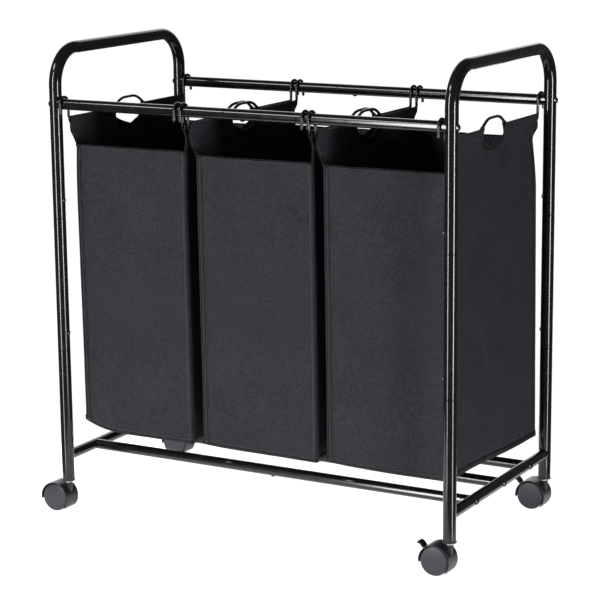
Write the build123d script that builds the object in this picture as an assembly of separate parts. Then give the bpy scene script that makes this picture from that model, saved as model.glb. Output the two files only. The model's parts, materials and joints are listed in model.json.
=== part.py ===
from build123d import *
import math
import os

# Laundry sorter on wheels, in millimetres.
# X runs along the length (left is -X), Y from front (-Y) to back, Z up. The origin lies on the
# floor, under the middle of the overall box.

# ---------------------------------------------------------------- driving dimensions

leg_span_x = 728.0          # between leg centre lines, along the length
leg_span_y = 386.0          # between leg centre lines, across the depth
total_height = 810.0
foot_z = 54.0               # underside of the leg sockets
cross_z = 99.0              # centre line of the cross tubes and of the bottom rails
bar_z = 709.5               # centre line of the hanging bars
upper_joint_z = 516.0
lower_joint_z = 287.0

leg_r = 10.75
bar_r = 9.25
cross_r = 9.25
rail_r = 8.75
wall = 1.0
slip = 0.1                  # radial play of a slipped tube joint
slip_length = 42.0          # how far a reduced tube end goes into its mate
neck_low = 1.5              # inside, the reduction of a tube's end starts and ends
neck_high = 3.0             # this far before the joint
joint_screw_rise = 31.0     # from a tube joint to its screw
handle_bend_r = 60.0        # centre line of the handle bends
tube_chamfer = 0.7
weld_fillet = 2.0
cope_gap = 0.05

bar_joint_x = -33.0         # where the two halves of each bar and rail meet
rail_pitch = 110.0

bolt_r = 3.0
bolt_head_r = 5.5
bolt_head_h = 3.4
bolt_reach = 25.0           # of a bolt past the tube wall, into its plug
hex_key_r = 2.4
hex_depth = 2.0
screw_r = 2.0
screw_head_r = 3.8
screw_head_h = 2.2
screw_length = 5.0
bolt_sink = 0.9             # a bolt head is cut this deep to sit on a round tube
hole_play = 0.05
cut_over = 2.0              # how far a cutting tool runs past what it cuts

plug_length = 22.0
plug_inset = 2.0            # from the tube's end to the plug
crimp_r = 2.6               # punch marks that hold the plugs in the rails
crimp_depth = 0.55
crimp_inset = 6.0           # from the rail's end
crimp_angle = 155.0         # round the rail, from the back over the top towards the front

socket_flange_r = 11.6
socket_flange_h = 2.4
socket_length = 34.0

wheel_r = 24.0
wheel_inner_y = 5.4
wheel_outer_y = 17.0
wheel_face_drop = 0.9       # the disc's rim lies this much inside its middle
wheel_hub_r = 8.0
wheel_dish = 0.7            # the inner face lies this much inside its hub
tread_round = 2.0
caster_trail = 20.0
axle_r = 2.5
axle_half = 15.6
axle_end_gap = 0.4
hood_r = 27.0
pocket_r = 25.2
hood_half = 17.5
web_half = 5.0
hood_edge = 0.9
boss_top_r = 6.8
boss_low_r = 4.4
boss_top_z = 51.7
boss_low_z = 28.0
hood_back_angle = 187.0     # the hood covers from here ...
hood_front_angle = -40.0    # ... over the top down to here
stem_r = 4.0
stem_rise = 30.0
stem_flange_r = 7.4
stem_flange_h = 1.8
pin_r = 3.0
pin_low_z = 15.0
clip_z = 19.0
clip_r = 3.9
clip_h = 1.2
run_play = 0.05             # radial, for parts that turn on a pin

lever_half = 7.5
lever_tang_half = 2.4
lever_pivot = (-10.0, 19.5) # along X and Z from the axle
lever_pin_r = 1.5
lever_round = 0.6
lever_slot_half = 8.2       # the hood's slot for the pedal's foot ...
lever_slot_x = -19.9        # ... lies beyond this, from the axle
tang_slot_half = 2.8
tang_slot_x = -18.0
lever_slot_low = 12.0
lever_slot_r = 24.6
tang_relief_r = 13.5        # room in the web for the tang to turn

bag_pitch = 235.3
bag_half_x = 110.5          # outer face of the side panels
bag_wall = 3.0
bag_low_z = 144.0
bag_rim_z = 642.0           # upper edge of the front and back panels
bag_low_half_y = 158.0
bag_rim_half_y = 165.0
wing_half_y = 181.0         # side panels at the rods
rod_r = 2.5
rod_x = 112.0               # from the middle of a bag
rod_z = 684.5
hook_play = 0.35            # between a hook and its bar
hook_tip_z = 695.0
rod_bend_r = 6.0
sleeve_r = 3.7
arch_foot_y = 48.0
arch_top_y = 27.0
arch_z = 702.5
arch_round_r = 46.0
foot_round_r = 8.0
hand_hole_y = 45.0
hand_hole_side_z = 668.0
hand_hole_side_y = 38.0
hand_hole_low_z = 654.0
hand_hole_flare = 8.0       # the mouth widens by this much towards the arch
sleeve_inset = 9.0          # from the wing's end to the end of the fabric sleeve
bend_relief_y = 15.5        # cut out of the wing's corner for the rod's bend
bend_relief_z = 15.0

# ---------------------------------------------------------------- derived places

leg_x = leg_span_x / 2
leg_y = leg_span_y / 2
top_z = total_height - leg_r
axle_z = wheel_r
left_reach = leg_x + caster_trail + hood_r
right_reach = leg_x + leg_r + bolt_head_h
# The casters trail to the left, so the frame's middle stands a little to the right of the origin.
frame_x = (left_reach - right_reach) / 2
bag_centres = {"left": -bag_pitch, "middle": 0.0, "right": bag_pitch}
corners = {
    "front_left": (-1, -1),
    "front_right": (1, -1),
    "back_left": (-1, 1),
    "back_right": (1, 1),
}

# ---------------------------------------------------------------- helpers


def cylinder(start, end, radius):
    """A plain cylinder between two points."""
    axis = Vector(*end) - Vector(*start)
    plane = Plane(origin=start, z_dir=axis)
    return plane * Cylinder(radius, axis.length, align=(Align.CENTER, Align.CENTER, Align.MIN))


def tube(start, end, radius, inner):
    return cylinder(start, end, radius) - cylinder(start, end, inner)


def turned(profile, origin, axis):
    """A solid of revolution: profile is a list of (radius, height) along the axis."""
    face = make_face(Polyline(*[(r, 0, h) for r, h in profile], close=True))
    solid = revolve(face, Axis.Z)
    return Plane(origin=origin, z_dir=axis) * solid


def swept(edges, radius, inner=0.0):
    """A round bar or tube along tangent lines and arcs."""
    path = Wire(edges)
    section = Plane(origin=path @ 0, z_dir=path % 0) * Circle(radius)
    if inner:
        section -= Plane(origin=path @ 0, z_dir=path % 0) * Circle(inner)
    return sweep(section, path=path)


def group(shapes):
    return Compound(children=[s for shape in shapes for s in shape.solids()])


def save(name, shape):
    moved = shape.moved(Location((frame_x, 0, 0)))
    export_step(moved, os.path.join("parts", name + ".step"))
    print(name, len(moved.solids()), round(moved.volume))


def cap_arc(radius, low, high):
    """A spherical cap's outline: from the rim at `low` up to the axis at `high`."""
    rise = high - low
    ball = (radius * radius + rise * rise) / (2 * rise)
    half = math.asin(radius / ball) / 2
    middle = (ball * math.sin(half), 0, high - ball + ball * math.cos(half))
    return ThreePointArc((radius, 0, low), middle, (0, 0, high))


def dome_bolt(origin, axis, head_r, head_h, shank_r, length, socket_r=0.0):
    """A domed screw: origin is under the head, axis points out of the head."""
    rim = head_h * 0.35
    outline = [
        Line((0, 0, -length), (shank_r, 0, -length)),
        Line((shank_r, 0, -length), (shank_r, 0, 0)),
        Line((shank_r, 0, 0), (head_r, 0, 0)),
        Line((head_r, 0, 0), (head_r, 0, rim)),
        cap_arc(head_r, rim, head_h),
        Line((0, 0, head_h), (0, 0, -length)),
    ]
    body = revolve(make_face(outline), Axis.Z)
    if socket_r:
        socket = extrude(RegularPolygon(socket_r, 6), head_h)
        body -= Pos(0, 0, head_h - hex_depth) * socket
    return Plane(origin=origin, z_dir=axis) * body


# ---------------------------------------------------------------- legs and handles

screw_heights = (lower_joint_z + joint_screw_rise, upper_joint_z + joint_screw_rise)


def leg_holes(sx, sy):
    """Screw holes in the inner side of one leg, and the bar bolt's hole through it."""
    reach = leg_r + cut_over
    holes = [
        cylinder((sx * leg_x, sy * leg_y, z), (sx * (leg_x - reach), sy * leg_y, z), screw_r + hole_play)
        for z in screw_heights
    ]
    holes.append(
        cylinder(
            (sx * (leg_x - reach), sy * leg_y, bar_z),
            (sx * (leg_x + reach), sy * leg_y, bar_z),
            bolt_r + hole_play,
        )
    )
    return holes


def handle_tube(sx):
    x = sx * leg_x
    y = leg_y
    bend = handle_bend_r
    inset = bend * (1 - math.sqrt(0.5))
    edges = [
        Line((x, -y, upper_joint_z), (x, -y, top_z - bend)),
        ThreePointArc((x, -y, top_z - bend), (x, -y + inset, top_z - inset), (x, -y + bend, top_z)),
        Line((x, -y + bend, top_z), (x, y - bend, top_z)),
        ThreePointArc((x, y - bend, top_z), (x, y - inset, top_z - inset), (x, y, top_z - bend)),
        Line((x, y, top_z - bend), (x, y, upper_joint_z)),
    ]
    body = swept(edges, leg_r, leg_r - wall)
    rims = body.edges().filter_by(GeomType.CIRCLE)
    rims = rims.filter_by(lambda e: abs(e.center().Z - upper_joint_z) < 0.01)
    rims = rims.filter_by(lambda e: e.radius > leg_r - wall / 2)
    body = chamfer(rims, tube_chamfer)
    for sy in (-1, 1):
        for hole in leg_holes(sx, sy):
            body -= hole
    return body


def leg_profile(low, high):
    """Half section of a leg tube that is reduced above `high` to slip into the next tube."""
    male = leg_r - wall - slip
    c = tube_chamfer
    return [
        (leg_r - wall, low),
        (leg_r - c, low),
        (leg_r, low + c),
        (leg_r, high - c),
        (leg_r - c, high),
        (male, high),
        (male, high + slip_length - c),
        (male - c, high + slip_length),
        (male - wall, high + slip_length),
        (male - wall, high - neck_low),
        (leg_r - wall, high - neck_high),
    ]


def middle_leg_tube(sx, sy):
    body = turned(leg_profile(lower_joint_z, upper_joint_z), (sx * leg_x, sy * leg_y, 0), (0, 0, 1))
    for hole in leg_holes(sx, sy):
        body -= hole
    return body


def lower_frame(sx):
    """Two short legs and the cross tube welded between them."""
    x = sx * leg_x
    low = foot_z + socket_flange_h
    outer = []
    for sy in (-1, 1):
        profile = leg_profile(low, lower_joint_z)
        filled = [(0, low)] + profile[1:8] + [(0, lower_joint_z + slip_length)]
        outer.append(turned(filled, (x, sy * leg_y, 0), (0, 0, 1)))
    body = cylinder((x, -leg_y, cross_z), (x, leg_y, cross_z), cross_r) + outer[0] + outer[1]
    seams = body.edges().filter_by(
        lambda e: e.geom_type not in (GeomType.LINE, GeomType.CIRCLE)
        and abs(e.center().Z - cross_z) < cross_r
        and abs(e.center().Y) > leg_y - 2 * leg_r
    )
    body = fillet(seams, weld_fillet)
    for sy in (-1, 1):
        profile = leg_profile(low, lower_joint_z)
        bore = [(0, low), profile[0], profile[10], profile[9], profile[8], (0, lower_joint_z + slip_length)]
        body -= turned(bore, (x, sy * leg_y, 0), (0, 0, 1))
    hollow_half = leg_y - leg_r - wall
    body -= cylinder((x, -hollow_half, cross_z), (x, hollow_half, cross_z), cross_r - wall)
    reach = cross_r + cut_over
    for i in (-1, 0, 1):
        y = i * rail_pitch
        body -= cylinder((x - reach, y, cross_z), (x + reach, y, cross_z), bolt_r + hole_play)
    for sy in (-1, 1):
        body -= leg_holes(sx, sy)[0]
    return body


# ---------------------------------------------------------------- hanging bars and bottom rails


def bar_half(side, y, z, radius, end_cutter):
    """One half of a bar or rail; the left half is reduced and slips into the right half."""
    c = tube_chamfer
    bore = radius - wall
    male = bore - slip
    if side < 0:
        length = bar_joint_x + leg_x
        profile = [
            (bore, 0),
            (radius, 0),
            (radius, length - c),
            (radius - c, length),
            (male, length),
            (male, length + slip_length - c),
            (male - c, length + slip_length),
            (male - wall, length + slip_length),
            (male - wall, length - neck_low),
            (bore, length - neck_high),
        ]
        body = turned(profile, (-leg_x, y, z), (1, 0, 0))
    else:
        length = leg_x - bar_joint_x
        profile = [(bore, 0), (radius - c, 0), (radius, c), (radius, length), (bore, length)]
        body = turned(profile, (bar_joint_x, y, z), (1, 0, 0))
    screw_x = bar_joint_x + joint_screw_rise
    body -= cylinder((screw_x, y, z), (screw_x, y, z - radius - cut_over), screw_r + hole_play)
    body -= end_cutter
    return max(body.solids(), key=lambda s: s.volume)


def leg_side(sx, sy, radius):
    """The part of a leg that a hanging bar meets."""
    x = sx * leg_x
    y = sy * leg_y
    reach = 2 * leg_r
    return cylinder((x, y, bar_z - reach), (x, y, bar_z + reach), radius)


def cross_side(sx, radius):
    """A cross tube, as the bottom rails meet it."""
    x = sx * leg_x
    return cylinder((x, -leg_y, cross_z), (x, leg_y, cross_z), radius)


def rail_half(side, y):
    """Half a bottom rail, with the punch mark that holds its end plug."""
    body = bar_half(side, y, cross_z, rail_r, cross_side(side, cross_r + cope_gap))
    turn = math.radians(crimp_angle)
    far = rail_r + crimp_r - crimp_depth
    x = side * (leg_x - cross_r - crimp_inset)
    return body - Pos(x, y + far * math.cos(turn), cross_z + far * math.sin(turn)) * Sphere(crimp_r)


def end_plug(sx, y, z, face_x, radius):
    """A threaded plug inside the end of a bar or rail."""
    start = sx * (face_x - plug_inset)
    end = sx * (face_x - plug_inset - plug_length)
    return tube((start, y, z), (end, y, z), radius - wall - slip, bolt_r + hole_play)


def outer_bolt(sx, y, z, seat_x, seat):
    """A domed bolt through a tube, its head cut to sit on the tube's round side."""
    length = 2 * (seat_x - leg_x) + bolt_reach
    under_head = (sx * (seat_x - bolt_sink), y, z)
    head_h = bolt_head_h + bolt_sink
    body = dome_bolt(under_head, (sx, 0, 0), bolt_head_r, head_h, bolt_r, length, hex_key_r)
    shank = cylinder((sx * (seat_x + bolt_sink), y, z), (sx * (seat_x - length), y, z), bolt_r)
    return (body - seat) + shank


# ---------------------------------------------------------------- casters


def caster_socket(sx, sy):
    profile = [
        (stem_r + hole_play, foot_z),
        (socket_flange_r - 0.8, foot_z),
        (socket_flange_r, foot_z + 0.8),
        (socket_flange_r, foot_z + socket_flange_h),
        (leg_r - wall - slip, foot_z + socket_flange_h),
        (leg_r - wall - slip, foot_z + socket_length - 1),
        (leg_r - wall - slip - 1, foot_z + socket_length),
        (stem_r + hole_play, foot_z + socket_length),
    ]
    return turned(profile, (sx * leg_x, sy * leg_y, 0), (0, 0, 1))


def caster_stem(sx, sy):
    """Threaded shank above a bright flange, and the plain pin that the hood turns on."""
    flange_z = foot_z - stem_flange_h
    groove_r = pin_r - 0.5
    profile = [
        (0, pin_low_z),
        (pin_r - 0.4, pin_low_z),
        (pin_r, pin_low_z + 0.4),
        (pin_r, clip_z - 0.1),
        (groove_r, clip_z - 0.1),
        (groove_r, clip_z + clip_h + 0.1),
        (pin_r, clip_z + clip_h + 0.1),
        (pin_r, flange_z),
        (stem_flange_r, flange_z),
        (stem_flange_r, foot_z),
        (stem_r, foot_z),
        (stem_r, foot_z + stem_rise - 1),
        (stem_r - 1, foot_z + stem_rise),
        (0, foot_z + stem_rise),
    ]
    return turned(profile, (sx * leg_x, sy * leg_y, 0), (0, 0, 1))


def stem_clip(sx, sy):
    low = (sx * leg_x, sy * leg_y, clip_z)
    high = (sx * leg_x, sy * leg_y, clip_z + clip_h)
    ring = tube(low, high, clip_r, pin_r - 0.45)
    gap = Pos(sx * leg_x + clip_r / 2, sy * leg_y, clip_z + clip_h / 2) * Box(clip_r, 1.6, clip_h)
    return ring - gap


def caster_hood(sx, sy, braked):
    """Hood over both wheels, with a web between them and a boss for the stem."""
    ax = sx * leg_x - caster_trail
    y = sy * leg_y
    shell = cylinder((ax, y - hood_half, axle_z), (ax, y + hood_half, axle_z), hood_r)
    rims = shell.edges().filter_by(GeomType.CIRCLE)
    shell = fillet(rims, hood_edge)
    boss_profile = [
        (0, boss_low_z),
        (boss_low_r, boss_low_z),
        (boss_top_r, boss_top_z - 1),
        (boss_top_r - 0.5, boss_top_z),
        (0, boss_top_z),
    ]
    body = shell + turned(boss_profile, (sx * leg_x, y, 0), (0, 0, 1))
    for side in (-1, 1):
        start = (ax, y + side * web_half, axle_z)
        body -= cylinder(start, (ax, y + side * (hood_half + 2), axle_z), pocket_r)
    back = math.radians(hood_back_angle)
    front = math.radians(hood_front_angle)
    far = 2 * hood_r
    p_back = (ax + hood_r * math.cos(back), y, axle_z + hood_r * math.sin(back))
    p_front = (ax + hood_r * math.cos(front), y, axle_z + hood_r * math.sin(front))
    slope = (p_front[2] - p_back[2]) / (p_front[0] - p_back[0])
    outline = Polyline(
        (ax - far, y, p_back[2] - slope * (far - (ax - p_back[0]))),
        (ax + far, y, p_front[2] + slope * (ax + far - p_front[0])),
        (ax + far, y, axle_z - far),
        (ax - far, y, axle_z - far),
        close=True,
    )
    body -= extrude(make_face(outline), hood_half + 2, dir=(0, 1, 0), both=True)
    body -= cylinder((ax, y - web_half - 1, axle_z), (ax, y + web_half + 1, axle_z), axle_r)
    x = sx * leg_x
    body -= cylinder((x, y, pin_low_z - 1), (x, y, boss_top_z + 1), pin_r + run_play)
    body -= cylinder((x, y, clip_z - 0.5), (x, y, clip_z + clip_h + 0.5), clip_r + 0.4)
    if braked:
        body -= lever_clearance(ax, y)
    return max(body.solids(), key=lambda s: s.volume)


def lever_clearance(ax, y):
    """The slots in the hood that the brake lever swings in, and its pin's hole."""
    px = ax + lever_pivot[0]
    pz = axle_z + lever_pivot[1]

    def slot(half, near_x):
        far = 2 * hood_r
        block = Pos(ax + near_x - far / 2, y, axle_z + lever_slot_low + far / 2) * Box(far, 2 * half, far)
        return block - cylinder((ax, y - hood_half, axle_z), (ax, y + hood_half, axle_z), lever_slot_r)

    half = tang_slot_half
    relief = cylinder((px, y - half, pz), (px, y + half, pz), tang_relief_r)
    relief &= cylinder((ax, y - half, axle_z), (ax, y + half, axle_z), pocket_r)
    reach = web_half + cut_over
    pin = cylinder((px, y - reach, pz), (px, y + reach, pz), lever_pin_r)
    return slot(lever_slot_half, lever_slot_x) + slot(half, tang_slot_x) + relief + pin


def brake_lever(sx, sy):
    """A short bent pedal outside the hood, on a narrow tang that turns on the lever pin."""
    ax = sx * leg_x - caster_trail
    y = sy * leg_y
    px, pz = lever_pivot
    # Both outlines are along X and Z from the axle.
    pedal_line = [
        (-33.8, 23.9),
        (-33.2, 26.1),
        (-30.5, 26.3),
        (-27.6, 25.0),
        (-25.0, 22.6),
        (-22.9, 19.9),
        (-21.4, 17.6),
        (-23.5, 16.3),
        (-25.3, 18.6),
        (-27.4, 21.0),
        (-30.0, 23.2),
    ]
    tang_line = [
        (px + 3.0, pz + 0.6),
        (px + 2.6, pz - 2.0),
        (px, pz - 3.1),
        (-15.0, 15.6),
        (-21.0, 14.6),
        (-23.4, 16.6),
        (-22.0, 18.2),
        (-18.4, 16.9),
        (-14.0, 19.6),
        (px + 0.6, pz + 3.0),
    ]

    def plate(line, half):
        face = make_face(Polyline(*[(ax + u, y, axle_z + w) for u, w in line], close=True))
        return extrude(face, half, dir=(0, 1, 0), both=True)

    pedal = plate(pedal_line, lever_half)
    pedal = fillet(pedal.edges().filter_by(Axis.Y), lever_round)
    body = pedal + plate(tang_line, lever_tang_half)
    reach = lever_tang_half + cut_over
    pin_x = ax + px
    pin_z = axle_z + pz
    bore = cylinder((pin_x, y - reach, pin_z), (pin_x, y + reach, pin_z), lever_pin_r + run_play)
    return body - bore


def caster_wheel(sx, sy, side):
    """A solid wheel with a gently domed outer disc and a blind bore."""
    ax = sx * leg_x - caster_trail
    y = sy * leg_y
    rim_h = wheel_outer_y - wheel_face_drop
    t = tread_round
    corner = t * (1 - math.sqrt(0.5))
    hub_r = wheel_hub_r
    dish = wheel_dish
    bore_end = axle_half + axle_end_gap
    outline = [
        Line((axle_r + run_play, 0, wheel_inner_y), (hub_r, 0, wheel_inner_y)),
        Line((hub_r, 0, wheel_inner_y), (hub_r + 1, 0, wheel_inner_y + dish)),
        Line((hub_r + 1, 0, wheel_inner_y + dish), (wheel_r - t, 0, wheel_inner_y + dish)),
        ThreePointArc(
            (wheel_r - t, 0, wheel_inner_y + dish),
            (wheel_r - corner, 0, wheel_inner_y + dish + corner),
            (wheel_r, 0, wheel_inner_y + dish + t),
        ),
        Line((wheel_r, 0, wheel_inner_y + dish + t), (wheel_r, 0, rim_h - t)),
        ThreePointArc(
            (wheel_r, 0, rim_h - t),
            (wheel_r - corner, 0, rim_h - corner),
            (wheel_r - t, 0, rim_h),
        ),
        cap_arc(wheel_r - t, rim_h, wheel_outer_y),
        Line((0, 0, wheel_outer_y), (0, 0, bore_end)),
        Line((0, 0, bore_end), (axle_r + run_play, 0, bore_end)),
        Line((axle_r + run_play, 0, bore_end), (axle_r + run_play, 0, wheel_inner_y)),
    ]
    body = revolve(make_face(outline), Axis.Z)
    return Plane(origin=(ax, y, axle_z), z_dir=(0, side, 0)) * body


def caster_axle(sx, sy):
    ax = sx * leg_x - caster_trail
    y = sy * leg_y
    return cylinder((ax, y - axle_half, axle_z), (ax, y + axle_half, axle_z), axle_r)


def lever_pin(sx, sy):
    ax = sx * leg_x - caster_trail + lever_pivot[0]
    y = sy * leg_y
    z = axle_z + lever_pivot[1]
    return cylinder((ax, y - web_half + 0.1, z), (ax, y + web_half - 0.1, z), lever_pin_r)


# ---------------------------------------------------------------- bags


def bag_rod(x):
    """One wire: hook, hem, arch over the hand hole, hem, hook."""
    hook_r = bar_r + hook_play + rod_r
    outer = leg_y + hook_r
    inner = leg_y - hook_r
    b = rod_bend_r
    bi = b * (1 - math.sqrt(0.5))

    def half(s):
        edges = [
            Line((x, s * outer, hook_tip_z), (x, s * outer, bar_z)),
            ThreePointArc((x, s * outer, bar_z), (x, s * leg_y, bar_z + hook_r), (x, s * inner, bar_z)),
            Line((x, s * inner, bar_z), (x, s * inner, rod_z + b)),
            ThreePointArc(
                (x, s * inner, rod_z + b), (x, s * (inner - bi), rod_z + bi), (x, s * (inner - b), rod_z)
            ),
        ]
        return edges

    rise = Vector(0, arch_foot_y - arch_top_y, arch_z - rod_z).normalized()
    half_turn = math.atan2(rise.Z, rise.Y) / 2
    foot_t = foot_round_r * math.tan(half_turn)
    top_t = arch_round_r * math.tan(half_turn)
    foot = Vector(x, -arch_foot_y, rod_z)
    crown = Vector(x, -arch_top_y, arch_z)
    a1 = foot - Vector(0, foot_t, 0)
    a2 = foot + rise * foot_t
    a3 = crown - rise * top_t
    a4 = crown + Vector(0, top_t, 0)

    def mirrored(p):
        return Vector(p.X, -p.Y, p.Z)

    def arc(p, q, tangent):
        return TangentArc(p, q, tangent=tangent)

    along = Vector(0, 1, 0)
    down = Vector(0, rise.Y, -rise.Z)
    hem = Vector(x, -(inner - b), rod_z)
    arch = [
        Line(hem, a1),
        arc(a1, a2, along),
        Line(a2, a3),
        arc(a3, a4, rise),
        Line(a4, mirrored(a4)),
        arc(mirrored(a4), mirrored(a3), along),
        Line(mirrored(a3), mirrored(a2)),
        arc(mirrored(a2), mirrored(a1), down),
        Line(mirrored(a1), mirrored(hem)),
    ]
    body = swept(half(-1) + arch + half(1), rod_r)
    for s in (-1, 1):
        body += Pos(x, s * outer, hook_tip_z) * Sphere(rod_r)
    return body


def bag_body(cx):
    """Fabric box, open on top, with taller side panels that carry the rods in their hems."""

    def side_prism(points, half_x):
        face = make_face(Polyline(*[(cx, u, w) for u, w in points], close=True))
        return extrude(face, half_x, dir=(1, 0, 0), both=True)

    outer_line = [
        (-bag_low_half_y, bag_low_z),
        (bag_low_half_y, bag_low_z),
        (bag_rim_half_y, bag_rim_z),
        (wing_half_y, rod_z),
        (-wing_half_y, rod_z),
        (-bag_rim_half_y, bag_rim_z),
    ]
    body = side_prism(outer_line, bag_half_x)
    w = bag_wall
    inner_line = [
        (-bag_low_half_y + w, bag_low_z + w),
        (bag_low_half_y - w, bag_low_z + w),
        (bag_rim_half_y - w, bag_rim_z + 0.5),
        (-bag_rim_half_y + w, bag_rim_z + 0.5),
    ]
    body -= side_prism(inner_line, bag_half_x - w)
    past = wing_half_y + cut_over
    above_h = 2 * (rod_z - bag_rim_z)
    above = Box(2 * (bag_half_x - w), 2 * past, above_h, align=(Align.CENTER, Align.CENTER, Align.MIN))
    body -= Pos(cx, 0, bag_rim_z) * above
    sleeve_y = wing_half_y - sleeve_inset
    for side in (-1, 1):
        x = cx + side * rod_x
        body += cylinder((x, -sleeve_y, rod_z), (x, sleeve_y, rod_z), sleeve_r)
    mouth_y = hand_hole_y + hand_hole_flare
    low_z = rod_z - hand_hole_flare
    high_z = rod_z + hand_hole_flare
    hole_line = [
        (0, hand_hole_low_z),
        (hand_hole_side_y, hand_hole_side_z),
        (hand_hole_y, low_z),
        (mouth_y, high_z),
        (-mouth_y, high_z),
        (-hand_hole_y, low_z),
        (-hand_hole_side_y, hand_hole_side_z),
    ]
    body -= side_prism(hole_line, 2 * bag_half_x)
    for side in (-1, 1):
        x = cx + side * rod_x
        body -= cylinder((x, -past, rod_z), (x, past, rod_z), rod_r + hole_play)
        for s in (-1, 1):
            relief = Box(2 * rod_r + 0.4, bend_relief_y, bend_relief_z)
            body -= Pos(x, s * (wing_half_y - 1.75), rod_z + 1) * relief
    return body


# ---------------------------------------------------------------- the pieces

os.makedirs("parts", exist_ok=True)

for side, sx in (("left", -1), ("right", 1)):
    save(side + "_handle_tube", handle_tube(sx))
    save(side + "_lower_frame", lower_frame(sx))

for name, (sx, sy) in corners.items():
    save(name + "_leg_tube", middle_leg_tube(sx, sy))

for name, sy in (("front", -1), ("back", 1)):
    for side, sx in (("left", -1), ("right", 1)):
        leg = leg_side(sx, sy, leg_r + cope_gap)
        save(name + "_bar_" + side, bar_half(sx, sy * leg_y, bar_z, bar_r, leg))

for name, i in (("front", -1), ("middle", 0), ("back", 1)):
    for side, sx in (("left", -1), ("right", 1)):
        save(name + "_rail_" + side, rail_half(sx, i * rail_pitch))

bar_ends = [(sx, sy * leg_y) for sx, sy in corners.values()]
rail_ends = [(sx, i * rail_pitch) for sx in (-1, 1) for i in (-1, 0, 1)]

save("bar_end_plugs", group([end_plug(sx, y, bar_z, leg_x - leg_r, bar_r) for sx, y in bar_ends]))
save("rail_end_plugs", group([end_plug(sx, y, cross_z, leg_x - cross_r, rail_r) for sx, y in rail_ends]))

bar_bolts = []
for sx, y in bar_ends:
    leg = leg_side(sx, y / leg_y, leg_r)
    bar_bolts.append(outer_bolt(sx, y, bar_z, leg_x + leg_r, leg))
save("bar_bolts", group(bar_bolts))

rail_bolts = []
for sx, y in rail_ends:
    rail_bolts.append(outer_bolt(sx, y, cross_z, leg_x + cross_r, cross_side(sx, cross_r)))
save("rail_bolts", group(rail_bolts))


def joint_screw(origin, axis):
    return dome_bolt(origin, axis, screw_head_r, screw_head_h, screw_r, screw_length)


leg_screws = []
for sx, sy in corners.values():
    for z in screw_heights:
        leg_screws.append(joint_screw((sx * (leg_x - leg_r), sy * leg_y, z), (-sx, 0, 0)))
save("leg_joint_screws", group(leg_screws))

screw_x = bar_joint_x + joint_screw_rise
bar_screws = [joint_screw((screw_x, sy * leg_y, bar_z - bar_r), (0, 0, -1)) for sy in (-1, 1)]
for i in (-1, 0, 1):
    bar_screws.append(joint_screw((screw_x, i * rail_pitch, cross_z - rail_r), (0, 0, -1)))
save("bar_joint_screws", group(bar_screws))

save("caster_sockets", group([caster_socket(sx, sy) for sx, sy in corners.values()]))
save("stem_clips", group([stem_clip(sx, sy) for sx, sy in corners.values()]))

for name, (sx, sy) in corners.items():
    braked = sx > 0
    save(name + "_stem", caster_stem(sx, sy))
    save(name + "_hood", caster_hood(sx, sy, braked))
    save(name + "_axle", caster_axle(sx, sy))
    save(name + "_wheel_a", caster_wheel(sx, sy, -1))
    save(name + "_wheel_b", caster_wheel(sx, sy, 1))
    if braked:
        save(name + "_brake_lever", brake_lever(sx, sy))
        save(name + "_lever_pin", lever_pin(sx, sy))

for name, cx in bag_centres.items():
    save(name + "_bag", bag_body(cx))
    save(name + "_bag_rod_a", bag_rod(cx - rod_x))
    save(name + "_bag_rod_b", bag_rod(cx + rod_x))
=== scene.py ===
import json
import math
from collections import namedtuple

import bmesh
import bpy
from mathutils import Matrix, Vector, noise


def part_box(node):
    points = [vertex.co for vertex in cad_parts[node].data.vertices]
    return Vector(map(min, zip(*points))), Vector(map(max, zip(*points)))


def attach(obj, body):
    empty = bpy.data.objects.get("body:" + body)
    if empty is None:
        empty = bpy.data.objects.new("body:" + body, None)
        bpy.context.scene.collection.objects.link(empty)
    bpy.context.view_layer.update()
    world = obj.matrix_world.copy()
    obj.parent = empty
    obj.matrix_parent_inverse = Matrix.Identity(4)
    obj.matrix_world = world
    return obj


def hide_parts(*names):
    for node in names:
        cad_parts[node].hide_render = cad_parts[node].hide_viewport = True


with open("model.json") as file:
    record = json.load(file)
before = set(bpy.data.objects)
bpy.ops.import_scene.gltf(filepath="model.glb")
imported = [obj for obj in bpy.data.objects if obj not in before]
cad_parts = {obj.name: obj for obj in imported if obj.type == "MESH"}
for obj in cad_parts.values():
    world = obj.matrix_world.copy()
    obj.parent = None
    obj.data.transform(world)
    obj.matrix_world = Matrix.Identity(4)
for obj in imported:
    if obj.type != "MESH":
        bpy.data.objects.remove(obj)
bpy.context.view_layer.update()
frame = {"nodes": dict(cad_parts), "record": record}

# Laundry sorter on wheels. Everything is in metres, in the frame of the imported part: X along the
# length, Y from front to back, Z up.

MM = 0.001
CORNERS = ("front_left", "front_right", "back_left", "back_right")


def in_mm(outline):
    return [(across * MM, height * MM) for across, height in outline]


def corners_of(node):
    low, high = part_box(node)
    return Vector(low), Vector(high)


def middle_of(node):
    low, high = corners_of(node)
    return (low + high) / 2


# ---------------------------------------------------------------- camera, light and floor

# The camera's place is given from the middle of the four legs.
CAMERA_FROM_LEGS = Vector((1.6848, -3.0339, 1.1186))
CAMERA_YAW = -0.509
CAMERA_PITCH = 0.212
CAMERA_ROLL = -0.010
LENS_MM = 125.2
SENSOR_MM = 36.0
FAR_END = 50.0               # of what the camera sees

STRIP_FOOT = -1.4
STRIP_FADES = ((-0.30, 0.85), (-0.45, 0.55))  # below this height, this share of the strip's light
BACKDROP = 1.05              # the world's white, as the camera sees it
ROOM = 0.11                  # the world's light on the object
ROOM_COLOR = (0.95, 0.97, 1.0, 1.0)
FLOOR_RADIUS = 0.62
FLOOR_COLOR = (0.93, 0.93, 0.93, 1.0)
FLOOR_LAMP = 2.9


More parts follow.
